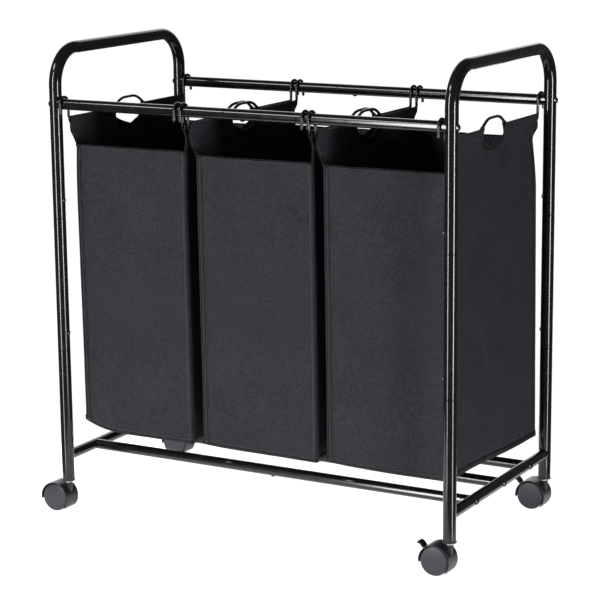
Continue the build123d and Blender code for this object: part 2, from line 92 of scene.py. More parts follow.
def make_camera():
    data = bpy.data.cameras.new("camera")
    data.sensor_width = SENSOR_MM
    data.lens = LENS_MM
    data.clip_end = FAR_END
    camera = bpy.data.objects.new("camera", data)
    bpy.context.scene.collection.objects.link(camera)
    level = math.cos(CAMERA_PITCH)
    drop = math.sin(CAMERA_PITCH)
    ahead = Vector((math.sin(CAMERA_YAW) * level, math.cos(CAMERA_YAW) * level, -drop))
    right = Vector((math.cos(CAMERA_YAW), -math.sin(CAMERA_YAW), 0.0))
    up = right.cross(ahead)
    c, s = math.cos(CAMERA_ROLL), math.sin(CAMERA_ROLL)
    across = c * right + s * up
    upward = c * up - s * right
    turn = Matrix((across, upward, -ahead)).transposed()
    legs_x = (middle_of("left_lower_frame").x + middle_of("right_lower_frame").x) / 2
    place = Vector((legs_x, 0.0, 0.0)) + CAMERA_FROM_LEGS
    camera.matrix_world = Matrix.Translation(place) @ turn.to_4x4()
    bpy.context.scene.camera = camera


def aim(obj, place, target):
    ahead = (Vector(target) - Vector(place)).normalized()
    obj.matrix_world = Matrix.Translation(place) @ ahead.to_track_quat("-Z", "Y").to_matrix().to_4x4()


def softbox(name, place, target, width, height, radiance):
    data = bpy.data.lights.new(name, "AREA")
    data.shape = "RECTANGLE"
    data.size = width
    data.size_y = height
    data.energy = radiance * math.pi * width * height
    lamp = bpy.data.objects.new(name, data)
    bpy.context.scene.collection.objects.link(lamp)
    aim(lamp, place, target)


def strip_light(name, x, y, width, top, radiance):
    """An upright box that grows dimmer towards its foot."""
    ends = [(top, 1.0)] + list(STRIP_FADES) + [(STRIP_FOOT, 0.0)]
    for number, ((high, share), (low, _)) in enumerate(zip(ends, ends[1:])):
        z = (high + low) / 2
        softbox(f"{name}_{number}", (x, y, z), (0.0, 0.0, z), width, high - low, radiance * share)


def make_light():
    """Two upright boxes and a high one for the narrow lines on the tubes, and a wall behind.

    The upright boxes reach below the floor, past its edge, because the tubes reflect downwards.
    """
    strip_light("left_strip", x=-1.0, y=-3.1, width=0.42, top=2.4, radiance=37.0)
    strip_light("right_strip", x=3.15, y=-1.1, width=0.44, top=0.9, radiance=45.0)
    softbox("high_box", (-1.5, -2.0, 2.6), (0.0, 0.0, 0.7), width=1.2, height=0.5, radiance=20.0)
    softbox("back_wall", (-2.0, 3.6, 1.4), (-0.4, 0.0, 1.4), width=4.6, height=5.2, radiance=1.8)
    world = bpy.data.worlds.new("studio")
    world.use_nodes = True
    tree = world.node_tree
    seen = tree.nodes["Background"]
    seen.inputs["Color"].default_value = (1.0, 1.0, 1.0, 1.0)
    seen.inputs["Strength"].default_value = BACKDROP
    room = tree.nodes.new("ShaderNodeBackground")
    room.inputs["Color"].default_value = ROOM_COLOR
    room.inputs["Strength"].default_value = ROOM
    path = tree.nodes.new("ShaderNodeLightPath")
    choose = tree.nodes.new("ShaderNodeMixShader")
    tree.links.new(path.outputs["Is Camera Ray"], choose.inputs[0])
    tree.links.new(room.outputs["Background"], choose.inputs[1])
    tree.links.new(seen.outputs["Background"], choose.inputs[2])
    tree.links.new(choose.outputs["Shader"], tree.nodes["World Output"].inputs["Surface"])
    bpy.context.scene.world = world
    bpy.context.scene.view_settings.view_transform = "Standard"


def make_floor():
    """A pale disc with a lamp of its own, so that the object's shadow on it stays faint."""
    mesh = bpy.data.meshes.new("floor")
    bm = bmesh.new()
    bmesh.ops.create_circle(bm, cap_ends=True, segments=96, radius=FLOOR_RADIUS)
    bm.to_mesh(mesh)
    bm.free()
    floor = bpy.data.objects.new("floor", mesh)
    bpy.context.scene.collection.objects.link(floor)
    mat = bpy.data.materials.new("floor_paper")
    mat.use_nodes = True
    shader = mat.node_tree.nodes["Principled BSDF"]
    shader.inputs["Base Color"].default_value = FLOOR_COLOR
    shader.inputs["Roughness"].default_value = 0.9
    shader.inputs["Specular IOR Level"].default_value = 0.1
    mesh.materials.append(mat)
    only_floor = bpy.data.collections.new("only_floor")
    only_floor.objects.link(floor)
    data = bpy.data.lights.new("floor_lamp", "SUN")
    data.energy = FLOOR_LAMP
    lamp = bpy.data.objects.new("floor_lamp", data)
    bpy.context.scene.collection.objects.link(lamp)
    lamp.light_linking.receiver_collection = only_floor
    lamp.light_linking.blocker_collection = only_floor


# ---------------------------------------------------------------- materials

NOISE_MOST = (0.3, 0.7)      # nearly all of a noise's values lie in here
ORANGE_PEEL = 0.012 * MM
SPARK_GRAIN = 0.006 * MM
PLATING_GRAIN = 0.02 * MM
THREAD_PITCH = 0.62 * MM
SLUB_DEPTH = 0.10 * MM
WEAVE_DEPTH = 0.09 * MM
FIBRE_DEPTH = 0.04 * MM
TWIST_DEPTH = 0.03 * MM
SHARP_EDGE = math.radians(32)


class Look:
    """A procedural material: a Principled shader and the nodes that feed it."""

    def __init__(self, name, color, roughness, values):
        self.mat = bpy.data.materials.new(name)
        self.mat.use_nodes = True
        self.tree = self.mat.node_tree
        self.shader = self.tree.nodes["Principled BSDF"]
        self.shader.inputs["Base Color"].default_value = (*color, 1.0)
        self.shader.inputs["Roughness"].default_value = roughness
        for socket, value in values.items():
            self.shader.inputs[socket].default_value = value
        self.place = self.tree.nodes.new("ShaderNodeTexCoord").outputs["Object"]

    def noise(self, scale, detail=3.0, rough=0.55):
        node = self.tree.nodes.new("ShaderNodeTexNoise")
        node.inputs["Scale"].default_value = scale
        node.inputs["Detail"].default_value = detail
        node.inputs["Roughness"].default_value = rough
        self.tree.links.new(self.place, node.inputs["Vector"])
        return node.outputs["Fac"]

    def math(self, kind, a, b=None, clamp=False):
        node = self.tree.nodes.new("ShaderNodeMath")
        node.operation = kind
        node.use_clamp = clamp
        for i, value in enumerate((a, b)):
            if value is None:
                continue
            if isinstance(value, (int, float)):
                node.inputs[i].default_value = value
            else:
                self.tree.links.new(value, node.inputs[i])
        return node.outputs["Value"]

    def span(self, value, low, high, start=0.0, stop=1.0):
        """The value's range from start to stop, carried over to the range from low to high."""
        node = self.tree.nodes.new("ShaderNodeMapRange")
        for socket, number in (("From Min", start), ("From Max", stop), ("To Min", low), ("To Max", high)):
            node.inputs[socket].default_value = number
        self.tree.links.new(value, node.inputs["Value"])
        return node.outputs["Result"]

    def blend(self, amount, first, second):
        """From the first colour to the second."""
        node = self.tree.nodes.new("ShaderNodeMix")
        node.data_type = "RGBA"
        self.tree.links.new(amount, node.inputs["Factor"])
        for socket, value in (("A", first), ("B", second)):
            target = [i for i in node.inputs if i.name == socket and i.type == "RGBA"][0]
            target.default_value = (*value, 1.0)
        return [o for o in node.outputs if o.type == "RGBA"][0]

    def color(self, source):
        self.tree.links.new(source, self.shader.inputs["Base Color"])

    def roughness(self, source):
        self.tree.links.new(source, self.shader.inputs["Roughness"])

    def bump(self, height, depth, strength=1.0, under=None):
        node = self.tree.nodes.new("ShaderNodeBump")
        node.inputs["Distance"].default_value = depth
        node.inputs["Strength"].default_value = strength
        self.tree.links.new(height, node.inputs["Height"])
        if under is not None:
            self.tree.links.new(under, node.inputs["Normal"])
        self.tree.links.new(node.outputs["Normal"], self.shader.inputs["Normal"])
        return node.outputs["Normal"]


def tinted(color, share, more=0.0):
    return tuple(c * share + more for c in color)


def powder_coat(name, color, roughness):
    """Gloss black powder coat: orange peel, uneven gloss and faint rubbed streaks."""
    look = Look(name, color, roughness, {"Specular IOR Level": 0.36})
    rubbed = look.span(look.noise(38.0, 5.0, 0.7), 0.0, 1.0, 0.56, 0.72)
    look.color(look.blend(rubbed, color, tinted(color, 1.6, 0.004)))
    gloss = look.noise(55.0, 4.0)
    look.roughness(look.span(gloss, roughness * 0.8, roughness * 1.25, *NOISE_MOST))
    coarse = look.bump(look.noise(520.0, 2.0), ORANGE_PEEL, 0.35)
    look.bump(look.noise(2600.0, 2.0), ORANGE_PEEL / 4, 0.3, coarse)
    return look.mat


def moulded(name, color, roughness, specular=0.38):
    """Moulded plastic with a fine spark texture and faint scuffs."""
    look = Look(name, color, roughness, {"Specular IOR Level": specular})
    scuff = look.span(look.noise(90.0, 6.0, 0.75), 0.0, 1.0, 0.58, 0.75)
    look.color(look.blend(scuff, color, tinted(color, 1.25, 0.001)))
    look.roughness(look.span(look.noise(140.0, 4.0), roughness * 0.92, roughness * 1.1, *NOISE_MOST))
    look.bump(look.noise(3800.0, 2.0), SPARK_GRAIN, 0.4)
    return look.mat


def plated(name, color, roughness):
    """Bright plating, a little uneven."""
    look = Look(name, color, roughness, {"Metallic": 1.0})
    look.roughness(look.span(look.noise(400.0, 4.0), roughness * 0.7, roughness * 1.5, *NOISE_MOST))
    look.bump(look.noise(1500.0, 3.0), PLATING_GRAIN, 0.3)
    return look.mat


def woven(name, color, contrast=0.35, specular=0.02):
    """Plain weave, laid along the cloth's own width and length."""
    values = {"Sheen Weight": 0.015, "Sheen Roughness": 0.45, "Specular IOR Level": specular}
    look = Look(name, color, 0.6, values)
    uv = look.tree.nodes.new("ShaderNodeUVMap")
    uv.uv_map = "cut"
    split = look.tree.nodes.new("ShaderNodeSeparateXYZ")
    look.tree.links.new(uv.outputs["UV"], split.inputs["Vector"])
    turn = math.pi / THREAD_PITCH
    across = look.math("SINE", look.math("MULTIPLY", split.outputs["X"], turn))
    along = look.math("SINE", look.math("MULTIPLY", split.outputs["Y"], turn))
    over = look.math("MULTIPLY", across, along)
    threads = look.math("ABSOLUTE", over)
    fibre = look.noise(2400.0, 3.0, 0.65)
    slub = look.noise(240.0, 4.0, 0.6)
    worn = look.noise(14.0, 3.0, 0.5)
    tone = look.math("ADD", spread(look, fibre, 0.16), spread(look, slub, 0.26))
    tone = look.math("ADD", tone, spread(look, worn, 0.06))
    tone = look.math("ADD", tone, look.span(threads, -contrast / 2, contrast / 2))
    tone = look.math("ADD", tone, 0.5, clamp=True)
    look.color(look.blend(tone, tinted(color, 0.45), tinted(color, 1.55)))
    soft = look.bump(slub, SLUB_DEPTH, 0.35)
    weave = look.bump(threads, WEAVE_DEPTH, 0.55, soft)
    look.bump(fibre, FIBRE_DEPTH, 0.4, weave)
    return look.mat


def spread(look, noise_value, most):
    """A noise as a change of tone, up to this much either way."""
    return look.span(noise_value, -most, most, *NOISE_MOST)


def twisted(name, color):
    """Sewing thread."""
    look = Look(name, color, 0.55, {"Sheen Weight": 0.2, "Sheen Roughness": 0.4})
    look.color(look.blend(look.noise(900.0), tinted(color, 0.6), tinted(color, 1.4)))
    look.bump(look.noise(5000.0), TWIST_DEPTH, 0.5)
    return look.mat


def smooth_discs():
    """Fresh normals for the wheels, whose domed discs would show a spot in the middle."""
    for corner in CORNERS:
        for letter in ("a", "b"):
            mesh = frame["nodes"][corner + "_wheel_" + letter].data
            made = mesh.attributes.get("custom_normal")
            if made:
                mesh.attributes.remove(made)
            mesh.shade_smooth()
            mesh.set_sharp_from_angle(angle=SHARP_EDGE)


def wear_on_frame():
    """Every carried-over CAD node gets its material."""
    paint = powder_coat("black_powder_coat", (0.004, 0.004, 0.0046), 0.13)
    dip = powder_coat("black_wire_coat", (0.004, 0.004, 0.0046), 0.10)
    screw = powder_coat("black_screw", (0.010, 0.010, 0.011), 0.15)
    steel = plated("bright_zinc", (0.74, 0.74, 0.76), 0.16)
    hood = moulded("hood_plastic", (0.0085, 0.0085, 0.0105), 0.36, 0.24)
    wheel = moulded("wheel_plastic", (0.0112, 0.0120, 0.0190), 0.3)
    plain = moulded("socket_plastic", (0.014, 0.014, 0.015), 0.45)
    looks = {
        "tube_paint": paint,
        "rod_paint": dip,
        "black_screw": screw,
        "bright_steel": steel,
        "hood_plastic": hood,
        "wheel_plastic": wheel,
        "lever_plastic": hood,
        "socket_plastic": plain,
        "plug_plastic": plain,
    }
    for part in frame["record"]["subparts"]:
        slot = part["material_slot"]
        if slot in looks:
            materials = frame["nodes"][part["node"]].data.materials
            materials.clear()
            materials.append(looks[slot])


make_camera()
make_light()
make_floor()
smooth_discs()
wear_on_frame()

# ---------------------------------------------------------------- the bags' cloth

CLOTH = 1.1 * MM
CLOTH_COLOR = (0.0199, 0.0194, 0.0233)
THREAD_COLOR = (0.055, 0.054, 0.057)

# The panels, in the order in which a ring of the cloth meets them.
PANELS = ("front", "right", "back", "left")
FLOOR_LIFT = 0.5 * MM        # of the cloth's floor over the CAD bag's underside
FLOOR_SAG = 2.5 * MM
LOW_BACK = 9.5 * MM          # the bags' floors hang this much behind their rims
LOW_HALF_Y = 167.5 * MM
RIM_HALF_Y = 165 * MM
HEM_HALF_Y = 175.5 * MM
PANEL_HALF_X = 107 * MM
RIM_BELOW_ROD = 42.5 * MM    # the front and back panels' edge
HEM_TOP = 9.0 * MM           # from the rod down to where the hem's two layers meet
HEM_OUT = 0.6 * MM           # from the rod's line out to the cloth there
BELLY = 1.2 * MM             # the bag's swell at half height, before the simulation

# The grid: columns across a front panel, rows up to the rim, and rows of a wing above it.
FRONT_COLUMNS = 22
ROWS = 50
WING_ROWS = 3
# Columns of a side panel out from its middle, close together round the hand hole.
FIXED_COLUMNS = [MM * y for y in (0, 8, 16, 23.5, 30, 35, 38.5, 41.5, 45, 49.5)]
SPREAD_COLUMNS = 11

# The hand hole, and the rod's arch over it.
HOLE_HALF = 41.5 * MM
HOLE_LOW = 656 * MM
HOLE_RISE = 3 * MM
HOLE_SLOPE = 0.29
ARCH_FOOT = 51 * MM          # the rod starts to rise here
ARCH_SLOPE = 0.857
FOOT_ROUND = 8 * MM

# How each bag hangs: the seed of its hollows, how far its front left lower corner and, towards the
# back, its right side's foot sit up (or down, below 0), how far the front and the back rim hang low,
# how far the cloth stands to the side of its rods, and how much more for each metre towards the back.
Hang = namedtuple("Hang", "seed corner_lift side_lift front_drop back_drop aside turn")
HANGS = {
    "left": Hang(1, 17 * MM, 0.0, 2.9 * MM, 0.0, -3.0 * MM, 0.0),
    "middle": Hang(2, 3 * MM, 0.0, 7.2 * MM, -3 * MM, 0.5 * MM, 0.0),
    "right": Hang(3, 4 * MM, -8 * MM, 8.3 * MM, -7.5 * MM, 4.5 * MM, 0.02),
}
LIFT_REACH = 0.09            # how far up the cloth follows a lifted corner
SIDE_LIFT_FROM = (-0.4, -0.6)  # where the side's lift starts, as shares of the half width and depth ...
SIDE_LIFT_OVER = (1.4, 1.2)  # ... and how much further on it is whole
RIM_DROP_REACH = 250 * MM    # how far down it follows a lower or higher rim
HANG_REACH = 0.12            # it is free of the rod's straight line this far below it
WAVE = 0.8 * MM              # soft hollows all over
WAVE_REACH = 0.2             # they are whole this far below the rod
WAVE_SCALES = (7, 4)         # of the noise, level and upright
WAVE_SEED = 9.1
LOW_WAVE = 1.2 * MM          # and along the lower edge
LOW_WAVE_SCALE = 9
LOW_WAVE_SEED = 3.3
CREASE_SLOPE = 0.8
CREASE_WIDTH = 9 * MM
CREASE_REACH = 75 * MM
CREASE_DEPTH = 3.0 * MM
CREASE_NEAR = 2 * MM         # only the front panel's points, this close to its plane, are creased

SIM_FRAMES = 24
MOST_SHIFT = 6 * MM
SEAM_CREASE = 0.8

# The hem round a rod: its arc over the rod, and where its two layers come together below it.
HEM_FLARE = 1.012            # the hem's top is this much longer than its foot
HEM_GAP = 0.85 * MM
HEM_TURNS = 7
HEM_CLOSE = 0.62             # of the way down to the stitches
HEM_OUTER = 0.72             # of the arc's radius
HEM_INNER = -0.8
HEM_START = 3 * MM
HEM_STEP = 2 * MM            # of cloth, from one row of the hem to the next
HEM_INSIDE = 1.5 * MM        # its inner layer lies this much inside the panel

# Outlines of the sewn-on strips: across the strip, and out from the cloth's middle.
SEAM_OUTLINE = in_mm((
    (-0.1, 0.2), (0.0, 0.9), (0.3, 1.15), (0.7, 1.2), (9.9, 1.2), (10.4, 1.1), (10.7, 0.9), (10.8, 0.2),
))
TAPE_OUTLINE = in_mm((
    (-0.8, 0.2), (-1.2, 1.0), (-0.6, 1.8), (1.6, 1.9), (3.2, 1.7), (3.8, 1.0), (3.9, 0.2),
))
SIDE_TAPE_SHADE_MORE = 5.0 * MM    # the side panels' tape is this much taller, a near-black band that paints the shade along their feet
TAPE_LINE = 5.2 * MM         # from a panel's foot to the stitches above its tape
TAPE_OVER = 0.5 * MM         # the tape runs past the corners
# The outline of a folded edge: across, as a share of the fold's depth, and out in millimetres.
FOLD_OUTLINE = (
    (1.00, 0.2), (0.97, 1.05), (0.26, 1.1), (0.12, 1.5), (-0.05, 1.3), (-0.12, 0.0),
    (-0.05, -1.3), (0.12, -1.5), (0.26, -1.1), (0.97, -1.05), (1.00, -0.2),
)
RIM_FOLD = 3.6 * MM
HOLE_FOLD = 10.0 * MM
WING_FOLD = 7.0 * MM
RIM_STITCHES = 0.8           # how deep the rows of stitches lie, as shares of a fold's depth
WING_STITCHES = 0.78
HOLE_STITCHES = (0.3, 0.85)
WING_START = 4 * MM          # a wing's fold starts this much below the rim
HEM_STITCHES = 1.5 * MM      # the hem's row lies this much below its foot
HEM_ENDS = 2 * MM            # and stops this much short of the wing's edge
STEP = 6 * MM                # along a sewn-on strip
JUST_OVER_ONE = 1.001        # keeps a place short of a panel's last row and column

# Which panel carries each upright seam's band, and whether at its far edge.
SEAM_BANDS = (("front", False), ("right", False), ("right", True), ("left", False))
PLAIN_LINES = (("left", True), ("front", True), ("back", False), ("back", True))
EDGE_LINE = 4.5 * MM         # from a panel's other edge to its plain line of stitches
BAND_LINES = (1.4 * MM, 9.6 * MM)
BAND_FOOT = 5 * MM           # a band starts this much above the cloth's foot ...
BAND_HEAD = 2 * MM           # ... and ends this much below the rim

STITCH = 2.3 * MM
STITCH_PITCH = 3.2 * MM
STITCH_R = 0.33 * MM
STITCH_LEVELS = (0.22, 0.78)  # a stitch is level between these shares of its length
STITCH_SUNK = 1.5            # radii that its ends lie deeper
ZIGZAG_R = 0.28 * MM
ZIGZAG_ENDS = (3.0 * MM, 7.9 * MM)
ZIGZAG_PITCH = 2.6 * MM
ON_CLOTH = 0.6 * MM          # heights of stitches on the cloth, a fold and a band
ON_FOLD = 1.15 * MM
ON_BAND = 1.2 * MM
ON_KNOT = 1.3 * MM
KNOT_DROP = Vector((0.0, 0.6 * MM, -3.0 * MM))


def mix(a, b, t):
    return a + (b - a) * t


def smooth(t):
    t = min(1.0, max(0.0, t))
    return t * t * (3 - 2 * t)


def join_rows(faces, low, high):
    for i in range(len(low) - 1):
        faces.append((low[i], low[i + 1], high[i + 1], high[i]))


def new_object(name, mesh):
    obj = bpy.data.objects.new(name, mesh)
    bpy.context.scene.collection.objects.link(obj)
    return obj


class Bag:
    """One bag's cloth: a grid of points for each panel, which seams and stitches follow."""

    def __init__(self, name, hang):
        low, high = corners_of(name + "_bag")
        rod_low, rod_high = corners_of(name + "_bag_rod_a")
        self.name = name
        self.hang = hang
        self.middle = (low.x + high.x) / 2
        self.low_z = low.z + FLOOR_LIFT
        self.rod_r = (rod_high.x - rod_low.x) / 2
        self.rod_x = self.middle - (rod_low.x + rod_high.x) / 2
        self.rod_z = rod_low.z + self.rod_r
        self.rim_z = self.rod_z - RIM_BELOW_ROD
        self.sides = len(FIXED_COLUMNS) + SPREAD_COLUMNS - 1
        self.points = []
        self.cut = []
        self.faces = []
        self.pins = []
        self.make_grid()

    # the shape at rest

    def half_y(self, z):
        if z <= self.rim_z:
            t = (z - self.low_z) / (self.rim_z - self.low_z)
            return mix(LOW_HALF_Y, RIM_HALF_Y, t)
        t = (z - self.rim_z) / (self.rod_z - HEM_TOP - self.rim_z)
        return mix(RIM_HALF_Y, HEM_HALF_Y, t)

    def side_y(self, i, z):
        """Y of a side panel's column i, counted from its middle."""
        n = abs(i)
        if n < len(FIXED_COLUMNS):
            y = FIXED_COLUMNS[n]
        else:
            t = (n - len(FIXED_COLUMNS) + 1) / SPREAD_COLUMNS
            y = mix(FIXED_COLUMNS[-1], self.half_y(z), t)
        return math.copysign(y, i)

    def rod_height(self, y):
        """The rod's centre line over the hem, which starts to rise at the arch's foot."""
        t = max(0.0, ARCH_FOOT - abs(y))
        bend = ARCH_SLOPE * FOOT_ROUND
        if t < bend:
            return self.rod_z + t * t / (2 * FOOT_ROUND)
        return self.rod_z + bend * bend / (2 * FOOT_ROUND) + ARCH_SLOPE * (t - bend)

    def hole_edge(self, y):
        """Height of the hand hole's lower edge."""
        t = abs(y) / HOLE_HALF
        return HOLE_LOW + HOLE_SLOPE * abs(y) + HOLE_RISE * t ** 4

    def top(self, i):
        """Height of the upper end of a side panel's column i."""
        y = self.side_y(i, self.rim_z)
        if abs(y) < HOLE_HALF - MM:
            return self.hole_edge(y)
        return self.rod_height(y) - HEM_TOP

    def half_x(self, z, y):
        """Half the bag's width there; the side panels lean out to the rods above the rim."""
        lean = smooth((z - self.rim_z) / (self.rod_z - HEM_TOP - self.rim_z))
        belly = math.sin(math.pi * min(1.0, (z - self.low_z) / (self.rim_z - self.low_z)))
        bulge = BELLY * belly * math.cos(math.pi * y / (2 * LOW_HALF_Y))
        return mix(PANEL_HALF_X, self.rod_x + HEM_OUT, lean) + bulge

    def slump(self, p):
        """Move a point by the bag's own unevenness."""
        hang = self.hang
        x = (p.x - self.middle) / PANEL_HALF_X
        y = p.y / LOW_HALF_Y
        near = smooth(1 - (p.z - self.low_z) / LIFT_REACH)
        spot = Vector((p.x * LOW_WAVE_SCALE, p.y * LOW_WAVE_SCALE, hang.seed * LOW_WAVE_SEED))
        lift = self.lift(x, y, near) + LOW_WAVE * near * noise.noise(spot)
        level, upright = WAVE_SCALES
        spot = Vector((p.x * level, p.y * level, p.z * upright + hang.seed * WAVE_SEED))
        wave = WAVE * noise.noise(spot) * smooth((self.rod_z - p.z) / WAVE_REACH)
        back = LOW_BACK * min(1.0, max(0.0, (self.rim_z - p.z) / (self.rim_z - self.low_z)))
        if abs(p.y + self.half_y(p.z)) < CREASE_NEAR:
            self.crease(p)
        p.z -= self.rim_drop(p.z, y)
        p.z += lift
        hanging = smooth((self.rod_z - p.z) / HANG_REACH)
        p.x += (hang.aside + hang.turn * p.y) * hanging + wave
        p.y += back
        p.y -= wave
        return p

    def lift(self, x, y, near):
        """How much the lower edge sits up; x and y run from -1 to 1 over the floor."""
        corner = max(0.0, -x) * max(0.0, -y)
        side = smooth((x - SIDE_LIFT_FROM[0]) / SIDE_LIFT_OVER[0])
        side *= smooth((y - SIDE_LIFT_FROM[1]) / SIDE_LIFT_OVER[1])
        return near * (self.hang.corner_lift * corner ** 3 + self.hang.side_lift * side)

    def rim_drop(self, z, y):
        """How much the rim hangs low, less and less away from it."""
        above = z - self.rim_z
        reach = RIM_BELOW_ROD - HEM_TOP if above > 0 else RIM_DROP_REACH
        close = smooth(1 - abs(above) / reach)
        return close * mix(self.hang.front_drop, self.hang.back_drop, smooth((y + 1) / 2))

    def crease(self, p):
        """A slanting fold in the front panel, below its upper left corner."""
        right = p.x - (self.middle - PANEL_HALF_X)
        down = self.rim_z - p.z
        off = (right - down * CREASE_SLOPE) / CREASE_WIDTH
        fade = smooth(1 - (right + down) / CREASE_REACH)
        p.y += CREASE_DEPTH * fade * math.exp(-off * off) * smooth(right / CREASE_WIDTH)

    # the grid

    def add(self, place, cut):
        """A point of the cloth and its place on the flat cloth; returns its number."""
        return self.add_as_is(self.slump(place), cut)

    def add_as_is(self, place, cut):
        self.points.append(place)
        self.cut.append(cut)
        return len(self.points) - 1

    def ring_place(self, j, z):
        """Point j of the ring at height z, counted from the front left corner by the right."""
        nf, ns = FRONT_COLUMNS, 2 * self.sides
        d = self.half_y(z)
        if j <= nf:
            x = mix(-1, 1, j / nf)
            return Vector((self.middle + x * self.half_x(z, d), -d, z))
        if j <= nf + ns:
            y = self.side_y(j - nf - self.sides, z)
            return Vector((self.middle + self.half_x(z, y), y, z))
        if j <= 2 * nf + ns:
            x = mix(1, -1, (j - nf - ns) / nf)
            return Vector((self.middle + x * self.half_x(z, d), d, z))
        y = -self.side_y(j - 2 * nf - ns - self.sides, z)
        return Vector((self.middle - self.half_x(z, y), y, z))

    def make_grid(self):
        """Rings of points round the four panels, then the wings and the floor."""
        nf, ns = FRONT_COLUMNS, 2 * self.sides
        count = 2 * (nf + ns)
        around = [0.0]
        for j in range(1, count):
            step = self.ring_place(j, self.rim_z) - self.ring_place(j - 1, self.rim_z)
            around.append(around[-1] + step.length)
        self.around = around
        rings = []
        for k in range(ROWS + 1):
            z = mix(self.low_z, self.rim_z, k / ROWS)
            rings.append([self.add(self.ring_place(j, z), (around[j], z)) for j in range(count)])
        self.panels = {
            "front": [row[0:nf + 1] for row in rings],
            "right": [row[nf:nf + ns + 1] for row in rings],
            "back": [row[nf + ns:2 * nf + ns + 1] for row in rings],
            "left": [row[2 * nf + ns:] + [row[0]] for row in rings],
        }
        for low, high in zip(rings, rings[1:]):
            for j in range(count):
                n = (j + 1) % count
                self.faces.append((low[j], low[n], high[n], high[j]))
        for side, start in (("right", nf), ("left", 2 * nf + ns)):
            self.add_wing(side, start)
        self.add_floor(rings[0])

    def add_wing(self, side, start):
        """A side panel above the rim, up to the hem and the hand hole."""
        below = self.panels[side][-1]
        for m in range(1, WING_ROWS + 1):
            row = []
            for i in range(2 * self.sides + 1):
                n = i - self.sides if side == "right" else self.sides - i
                z = mix(self.rim_z, self.top(n), m / WING_ROWS)
                y = self.side_y(n, z)
                x = self.half_x(z, y) * (1 if side == "right" else -1)
                cut = (self.around[(start + i) % len(self.around)], z)
                row.append(self.add(Vector((self.middle + x, y, z)), cut))
                if m == WING_ROWS and abs(self.side_y(n, self.rim_z)) >= HOLE_HALF - MM:
                    self.pins.append(row[-1])
            join_rows(self.faces, below, row)
            self.panels[side].append(row)
            below = row

    def add_floor(self, ring):
        """The floor, which shares its edge points with the lowest ring."""
        nf, ns = FRONT_COLUMNS, 2 * self.sides
        count = len(ring)
        rows = [[ring[j] for j in range(nf + 1)]]
        for i in range(1, ns):
            row = [ring[(count - i) % count]]
            y = self.side_y(i - self.sides, self.low_z)
            for j in range(1, nf):
                x = mix(-1, 1, j / nf)
                place = Vector((self.middle + x * self.half_x(self.low_z, y), y, self.low_z))
                place.z -= FLOOR_SAG * (1 - x * x) * (1 - (y / LOW_HALF_Y) ** 2)
                row.append(self.add(place, (place.x, place.y)))
            row.append(ring[nf + i])
            rows.append(row)
        rows.append([ring[2 * nf + ns - j] for j in range(nf + 1)])
        for near, far in zip(rows, rows[1:]):
            for j in range(nf):
                self.faces.append((near[j], far[j], far[j + 1], near[j + 1]))

    # cloth simulation

    def simulate(self):
        """Let the cloth settle with a little air in it, held at its hems."""
        mesh = bpy.data.meshes.new(self.name + "_drape")
        mesh.from_pydata(self.points, [], self.faces)
        obj = new_object(self.name + "_drape", mesh)
        group = obj.vertex_groups.new(name="pins")
        group.add(self.pins, 1.0, "REPLACE")
        cloth = obj.modifiers.new("cloth", "CLOTH")
        settings = cloth.settings
        settings.quality = 6
        settings.mass = 0.00006
        settings.vertex_group_mass = "pins"
        settings.tension_stiffness = 12
        settings.compression_stiffness = 12
        settings.shear_stiffness = 6
        settings.bending_stiffness = 0.6
        settings.air_damping = 4
        settings.shrink_min = -0.008
        settings.use_pressure = True
        settings.uniform_pressure_force = 0.025
        cloth.collision_settings.use_collision = False
        cloth.point_cache.frame_start = 1
        cloth.point_cache.frame_end = SIM_FRAMES
        scene = bpy.context.scene
        for number in range(1, SIM_FRAMES + 1):
            scene.frame_set(number)
        settled = obj.evaluated_get(bpy.context.evaluated_depsgraph_get())
        places = [v.co.copy() for v in settled.data.vertices]
        scene.frame_set(1)
        bpy.data.objects.remove(obj)
        bpy.data.meshes.remove(mesh)
        for i, place in enumerate(places):
            shift = place - self.points[i]
            if shift.length > MOST_SHIFT:
                shift *= MOST_SHIFT / shift.length
            self.points[i] = self.points[i] + shift

    # reading the surface

    def at(self, panel, column, row):
        """Place, outward normal and the directions along and up the cloth, at a column and row."""
        rows = self.panels[panel]
        row = min(max(row, 0.0), len(rows) - JUST_OVER_ONE)
        column = min(max(column, 0.0), len(rows[0]) - JUST_OVER_ONE)
        k, c = int(row), int(column)
        rise, reach = row - k, column - c
        p = [[self.points[rows[k + u][c + w]] for w in (0, 1)] for u in (0, 1)]
        low = mix(p[0][0], p[0][1], reach)
        high = mix(p[1][0], p[1][1], reach)
        up = (high - low).normalized()
        along = (mix(p[0][1], p[1][1], rise) - mix(p[0][0], p[1][0], rise)).normalized()
        return mix(low, high, rise), along.cross(up).normalized(), along, up

    def column_of(self, y, z):
        """The column, whole or not, of a side panel at this distance from its middle."""
        n = abs(y)
        last = len(FIXED_COLUMNS) - 1
        if n < FIXED_COLUMNS[last]:
            k = max(i for i, v in enumerate(FIXED_COLUMNS) if v <= n)
            c = k + (n - FIXED_COLUMNS[k]) / (FIXED_COLUMNS[k + 1] - FIXED_COLUMNS[k])
        else:
            c = last + SPREAD_COLUMNS * (n - FIXED_COLUMNS[last]) / (self.half_y(z) - FIXED_COLUMNS[last])
        return self.sides + math.copysign(c, y)

    def width(self, panel, z):
        return 2 * PANEL_HALF_X if panel in ("front", "back") else 2 * self.half_y(z)

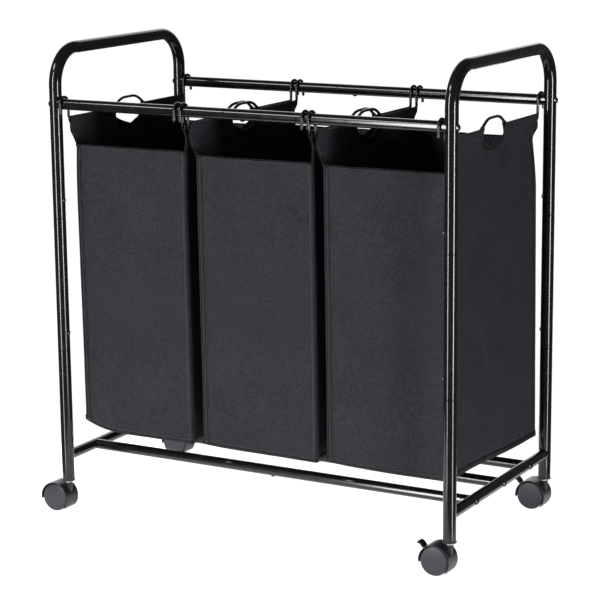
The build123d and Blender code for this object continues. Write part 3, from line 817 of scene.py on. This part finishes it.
    def on(self, panel, u, z):
        """Place and outward normal, u along the panel in the ring's direction and at height z.

        Past the cloth's edges the place goes straight on.
        """
        wide = self.width(panel, z)
        inside = min(max(u, 0.0), wide)
        if panel in ("front", "back"):
            column = inside / wide * FRONT_COLUMNS
            top = self.rim_z
        else:
            column = self.column_of(inside - wide / 2, z)
            k = min(int(column), 2 * self.sides - 1)
            top = mix(self.top(k - self.sides), self.top(k + 1 - self.sides), column - k)
        level = min(max(z, self.low_z), top)
        if level <= self.rim_z:
            row = ROWS * (level - self.low_z) / (self.rim_z - self.low_z)
        else:
            row = ROWS + WING_ROWS * (level - self.rim_z) / (top - self.rim_z)
        place, normal, along, up = self.at(panel, column, row)
        return place + along * (u - inside) + up * (z - level), normal

    # the finished cloth

    def make_cloth(self, look):
        for panel, side in (("right", 1), ("left", -1)):
            for start, stop in self.hem_spans():
                self.add_hem(self.panels[panel], side, start, stop)
        mesh = bpy.data.meshes.new(self.name + "_bag_cloth")
        mesh.from_pydata(self.points, [], self.faces)
        layer = mesh.uv_layers.new(name="cut")
        for loop in mesh.loops:
            layer.data[loop.index].uv = self.cut[loop.vertex_index]
        mesh.materials.append(look)
        for polygon in mesh.polygons:
            polygon.use_smooth = True
        self.crease_corners(mesh)
        obj = new_object(self.name + "_bag_cloth", mesh)
        finer = obj.modifiers.new("finer", "SUBSURF")
        finer.levels = 1
        finer.render_levels = 1
        finer.boundary_smooth = "PRESERVE_CORNERS"
        thick = obj.modifiers.new("thick", "SOLIDIFY")
        thick.thickness = CLOTH
        thick.offset = 0.0
        return obj

    def crease_corners(self, mesh):
        """Keep the upright seams and the floor's seam crisp when the mesh is made finer."""
        lines = [[row[0] for row in self.panels[panel]] for panel in PANELS]
        lines += [self.panels[panel][0] for panel in PANELS]
        sewn = {frozenset(pair) for line in lines for pair in zip(line, line[1:])}
        crease = mesh.attributes.new("crease_edge", "FLOAT", "EDGE")
        for edge in mesh.edges:
            if frozenset(edge.vertices) in sewn:
                crease.data[edge.index].value = SEAM_CREASE

    def hem_spans(self):
        """Columns that the rod's two hems cover, either side of the hand hole."""
        edge = [c >= HOLE_HALF - MM for c in FIXED_COLUMNS].index(True)
        last = 2 * self.sides
        return ((0, self.sides - edge), (self.sides + edge, last))

    def add_hem(self, rows, side, start, stop):
        """The panel's end, taken over the rod and stitched down on the inside."""
        reach = self.rod_r + HEM_GAP
        angles = [math.pi * i / HEM_TURNS for i in range(HEM_TURNS + 1)]
        profile = [(reach * HEM_OUTER, -HEM_CLOSE * HEM_TOP)]
        profile += [(reach * math.cos(a), reach * math.sin(a)) for a in angles]
        profile += [(reach * HEM_INNER, -HEM_CLOSE * HEM_TOP)]
        before = rows[-1][start:stop + 1]
        for number, (across, rise) in enumerate(profile):
            row = []
            for index in rows[-1][start:stop + 1]:
                y = self.points[index].y * HEM_FLARE
                x = self.middle + side * (self.rod_x + across)
                around, z = self.cut[index]
                place = Vector((x, y, self.rod_height(y) + rise))
                row.append(self.add_as_is(place, (around, z + number * HEM_STEP + HEM_START)))
            join_rows(self.faces, before, row)
            before = row
        inward = Vector((-side * HEM_INSIDE, 0, 0))
        for below in rows[-1:-4:-1]:
            row = [self.add_as_is(self.points[i] + inward, self.cut[i]) for i in below[start:stop + 1]]
            join_rows(self.faces, before, row)
            before = row


class Sewn:
    """Strips and stitches on one bag, gathered into a single mesh."""

    def __init__(self, name):
        self.name = name
        self.bm = bmesh.new()
        self.uv = {}

    def vert(self, place, uv):
        v = self.bm.verts.new(place)
        self.uv[v] = uv
        return v

    def strip(self, steps, outline, spot):
        """A closed strip: spot(step, across) gives the cloth's place and outward normal."""
        count = len(outline)
        before = None
        walked = 0.0
        for step in steps:
            ring = []
            for across, height in outline:
                place, normal = spot(step, across)
                ring.append(self.vert(place + normal * height, (across, walked)))
            if before is None:
                self.bm.faces.new(ring)
            else:
                for k in range(count):
                    n = (k + 1) % count
                    self.bm.faces.new((before[k], ring[k], ring[n], before[n]))
            before = ring
            walked += STEP
        self.bm.faces.new(list(reversed(before)))

    def stitch(self, start, end, normal, height, radius=STITCH_R):
        """A short thread whose ends dip into the cloth."""
        along = end - start
        side = normal.cross(along).normalized() * radius
        tall = normal * radius
        sunk = normal * (height - STITCH_SUNK * radius)
        tips = [self.vert(p + sunk, (0.0, 0.0)) for p in (start, end)]
        rings = []
        for t in STITCH_LEVELS:
            middle = start + along * t + normal * height
            rings.append([self.vert(middle + d, (0.0, t)) for d in (side, tall, -side, -tall)])
        for k in range(4):
            n = (k + 1) % 4
            self.bm.faces.new((tips[0], rings[0][n], rings[0][k]))
            self.bm.faces.new((rings[0][k], rings[0][n], rings[1][n], rings[1][k]))
            self.bm.faces.new((rings[1][k], rings[1][n], tips[1]))

    def line(self, length, spot, height):
        """Stitches along a line: spot(distance) gives the cloth's place and normal."""
        count = int(length / STITCH_PITCH)
        for i in range(count):
            start, normal = spot(i * STITCH_PITCH)
            end, _ = spot(i * STITCH_PITCH + STITCH)
            self.stitch(start, end, normal, height)

    def done(self, look):
        bmesh.ops.recalc_face_normals(self.bm, faces=self.bm.faces)
        layer = self.bm.loops.layers.uv.new("cut")
        for face in self.bm.faces:
            face.smooth = True
            for loop in face.loops:
                loop[layer].uv = self.uv[loop.vert]
        mesh = bpy.data.meshes.new(self.name)
        self.bm.to_mesh(mesh)
        self.bm.free()
        mesh.materials.append(look)
        return new_object(self.name, mesh)


def taller(outline, more):
    """The same outline with its upper half moved up."""
    return [(across + (more if across > 1.0 * MM else 0.0), height) for across, height in outline]


def steps_between(start, stop):
    count = max(1, round(abs(stop - start) / STEP))
    return [mix(start, stop, i / count) for i in range(count + 1)]


def fold_of(width):
    """The outline of an edge folded over and sewn down, width deep."""
    return [(across * width, height * MM) for across, height in FOLD_OUTLINE]


def sew_seams(bag, bands, thread):
    """The overlocked seam allowance beside each upright edge, and the plain line across from it."""
    low = bag.low_z + BAND_FOOT
    high = bag.rim_z - BAND_HEAD

    def spot(panel, far, z, across):
        return bag.on(panel, bag.width(panel, z) - across if far else across, z)

    for panel, far in SEAM_BANDS:
        bands.strip(steps_between(low, high), SEAM_OUTLINE, lambda z, u: spot(panel, far, z, u))
        for i in range(int((high - low) / ZIGZAG_PITCH)):
            start, normal = spot(panel, far, low + i * ZIGZAG_PITCH, ZIGZAG_ENDS[i % 2])
            end, _ = spot(panel, far, low + (i + 1) * ZIGZAG_PITCH, ZIGZAG_ENDS[1 - i % 2])
            thread.stitch(start, end, normal, ON_BAND, ZIGZAG_R)
        for u in BAND_LINES:
            thread.line(high - low, lambda d: spot(panel, far, low + d, u), ON_BAND)
        tail(bag, panel, far, thread)
    for panel, far in PLAIN_LINES:
        thread.line(high - low, lambda d: spot(panel, far, low + d, EDGE_LINE), ON_CLOTH)


def tail(bag, panel, far, thread):
    """Loose ends of the overlock thread below a seam band."""
    for n in range(4):
        across = (3.0 + 1.6 * n) * MM
        u = bag.width(panel, bag.low_z) - across if far else across
        place, normal = bag.on(panel, u, bag.low_z + BAND_FOOT + MM)
        for k in range(3):
            wander = Vector((0.8 * math.sin(2.1 * n + k), 0.8 * math.cos(1.7 * n + k), -2.0 - 0.3 * n)) * MM
            thread.stitch(place, place + wander, normal, (2.0 + 0.2 * k) * MM)
            place = place + wander * 0.9


def sew_rims(bag, bands, thread):
    """The folded upper edges of the front and back panels."""
    for panel in ("front", "back"):
        wide = bag.width(panel, bag.rim_z)
        steps = steps_between(1 * MM, wide - 1 * MM)
        bands.strip(steps, fold_of(RIM_FOLD), lambda u, across: bag.on(panel, u, bag.rim_z - across))
        for side in (1, -1):
            thread.line(wide, lambda d: bag.on(panel, d, bag.rim_z - RIM_STITCHES * RIM_FOLD), side * ON_FOLD)


def sew_hole(bag, panel, bands, thread):
    """The folded edge of a hand hole, with two rows of stitches and a knot below its middle."""
    half = HOLE_HALF - 2 * MM
    middle = bag.width(panel, bag.rim_z) / 2

    def spot(y, across):
        near = 0.5 * MM
        slope = (bag.hole_edge(y + near) - bag.hole_edge(y - near)) / (2 * near)
        size = math.hypot(1.0, slope)
        z = bag.hole_edge(y) - across / size
        u = y + across * slope / size
        return bag.on(panel, u + bag.width(panel, z) / 2, z)

    bands.strip(steps_between(-half, half), fold_of(HOLE_FOLD), spot)
    for share in HOLE_STITCHES:
        thread.line(2 * half, lambda d: spot(d - half, share * HOLE_FOLD), ON_BAND)
    for n in range(3):
        start, normal = bag.on(panel, middle + n * MM, HOLE_LOW - HOLE_FOLD)
        thread.stitch(start, start + KNOT_DROP, normal, ON_KNOT)


def sew_wings(bag, panel, bands, thread):
    """Folded edges of a side panel above the rim, and the row that closes the rod's hem."""
    low = bag.rim_z - WING_START
    high = bag.rod_z - HEM_TOP - 1 * MM
    for back in (False, True):

        def spot(z, across):
            return bag.on(panel, bag.width(panel, z) - across if back else across, z)

        bands.strip(steps_between(low, high), fold_of(WING_FOLD), spot)
        thread.line(high - low, lambda d: spot(low + d, WING_STITCHES * WING_FOLD), ON_FOLD)
    below = bag.rod_z - HEM_TOP - HEM_STITCHES
    wide = bag.width(panel, below)
    hem = wide / 2 - HOLE_HALF - 3 * MM
    for start in (HEM_ENDS, wide - hem - HEM_ENDS):
        thread.line(hem, lambda d: bag.on(panel, start + d, below), ON_CLOTH)


def sew_tape(bag, panel, tape, thread):
    """Bound lower edge of a panel, near black; on the side panels it is taller, and there its band paints the
    shade along the foot.
    """
    wide = bag.width(panel, bag.low_z)
    # the side panels' extra height is painted shade along their feet
    more = SIDE_TAPE_SHADE_MORE if panel in ("left", "right") else 0.0
    steps = steps_between(-TAPE_OVER, wide + TAPE_OVER)
    tape.strip(steps, taller(TAPE_OUTLINE, more), lambda u, across: bag.on(panel, u, bag.low_z + across))
    thread.line(wide, lambda d: bag.on(panel, d, bag.low_z + TAPE_LINE + more), ON_CLOTH)


def sew(bag, band_look, tape_and_shade_look, thread_look):
    """Everything that is sewn onto a bag's cloth, as three pieces."""
    bands = Sewn(bag.name + "_bag_seams")
    tape = Sewn(bag.name + "_bag_binding_and_painted_shade")
    thread = Sewn(bag.name + "_bag_stitches")
    sew_seams(bag, bands, thread)
    sew_rims(bag, bands, thread)
    for panel in ("right", "left"):
        sew_hole(bag, panel, bands, thread)
        sew_wings(bag, panel, bands, thread)
    for panel in PANELS:
        sew_tape(bag, panel, tape, thread)
    return [bands.done(band_look), tape.done(tape_and_shade_look), thread.done(thread_look)]


def make_bags():
    cloth = woven("bag_cloth", CLOTH_COLOR)
    band = woven("bag_seam_band", tinted(CLOTH_COLOR, 0.42), contrast=0.5)
    # the binding tape is a real bound edge, and its near-black tone also paints the shade along the bags'
    # feet
    tape = woven("bag_binding_tape_and_painted_shade", tinted(CLOTH_COLOR, 0.14), contrast=0.6, specular=0.2)
    thread = twisted("bag_thread", THREAD_COLOR)
    for name, hang in HANGS.items():
        bag = Bag(name, hang)
        bag.simulate()
        obj = bag.make_cloth(cloth)
        trims = sew(bag, band, tape, thread)
        for piece in [obj] + trims:
            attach(piece, name + "_hanging_bag")
        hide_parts(name + "_bag")


make_bags()
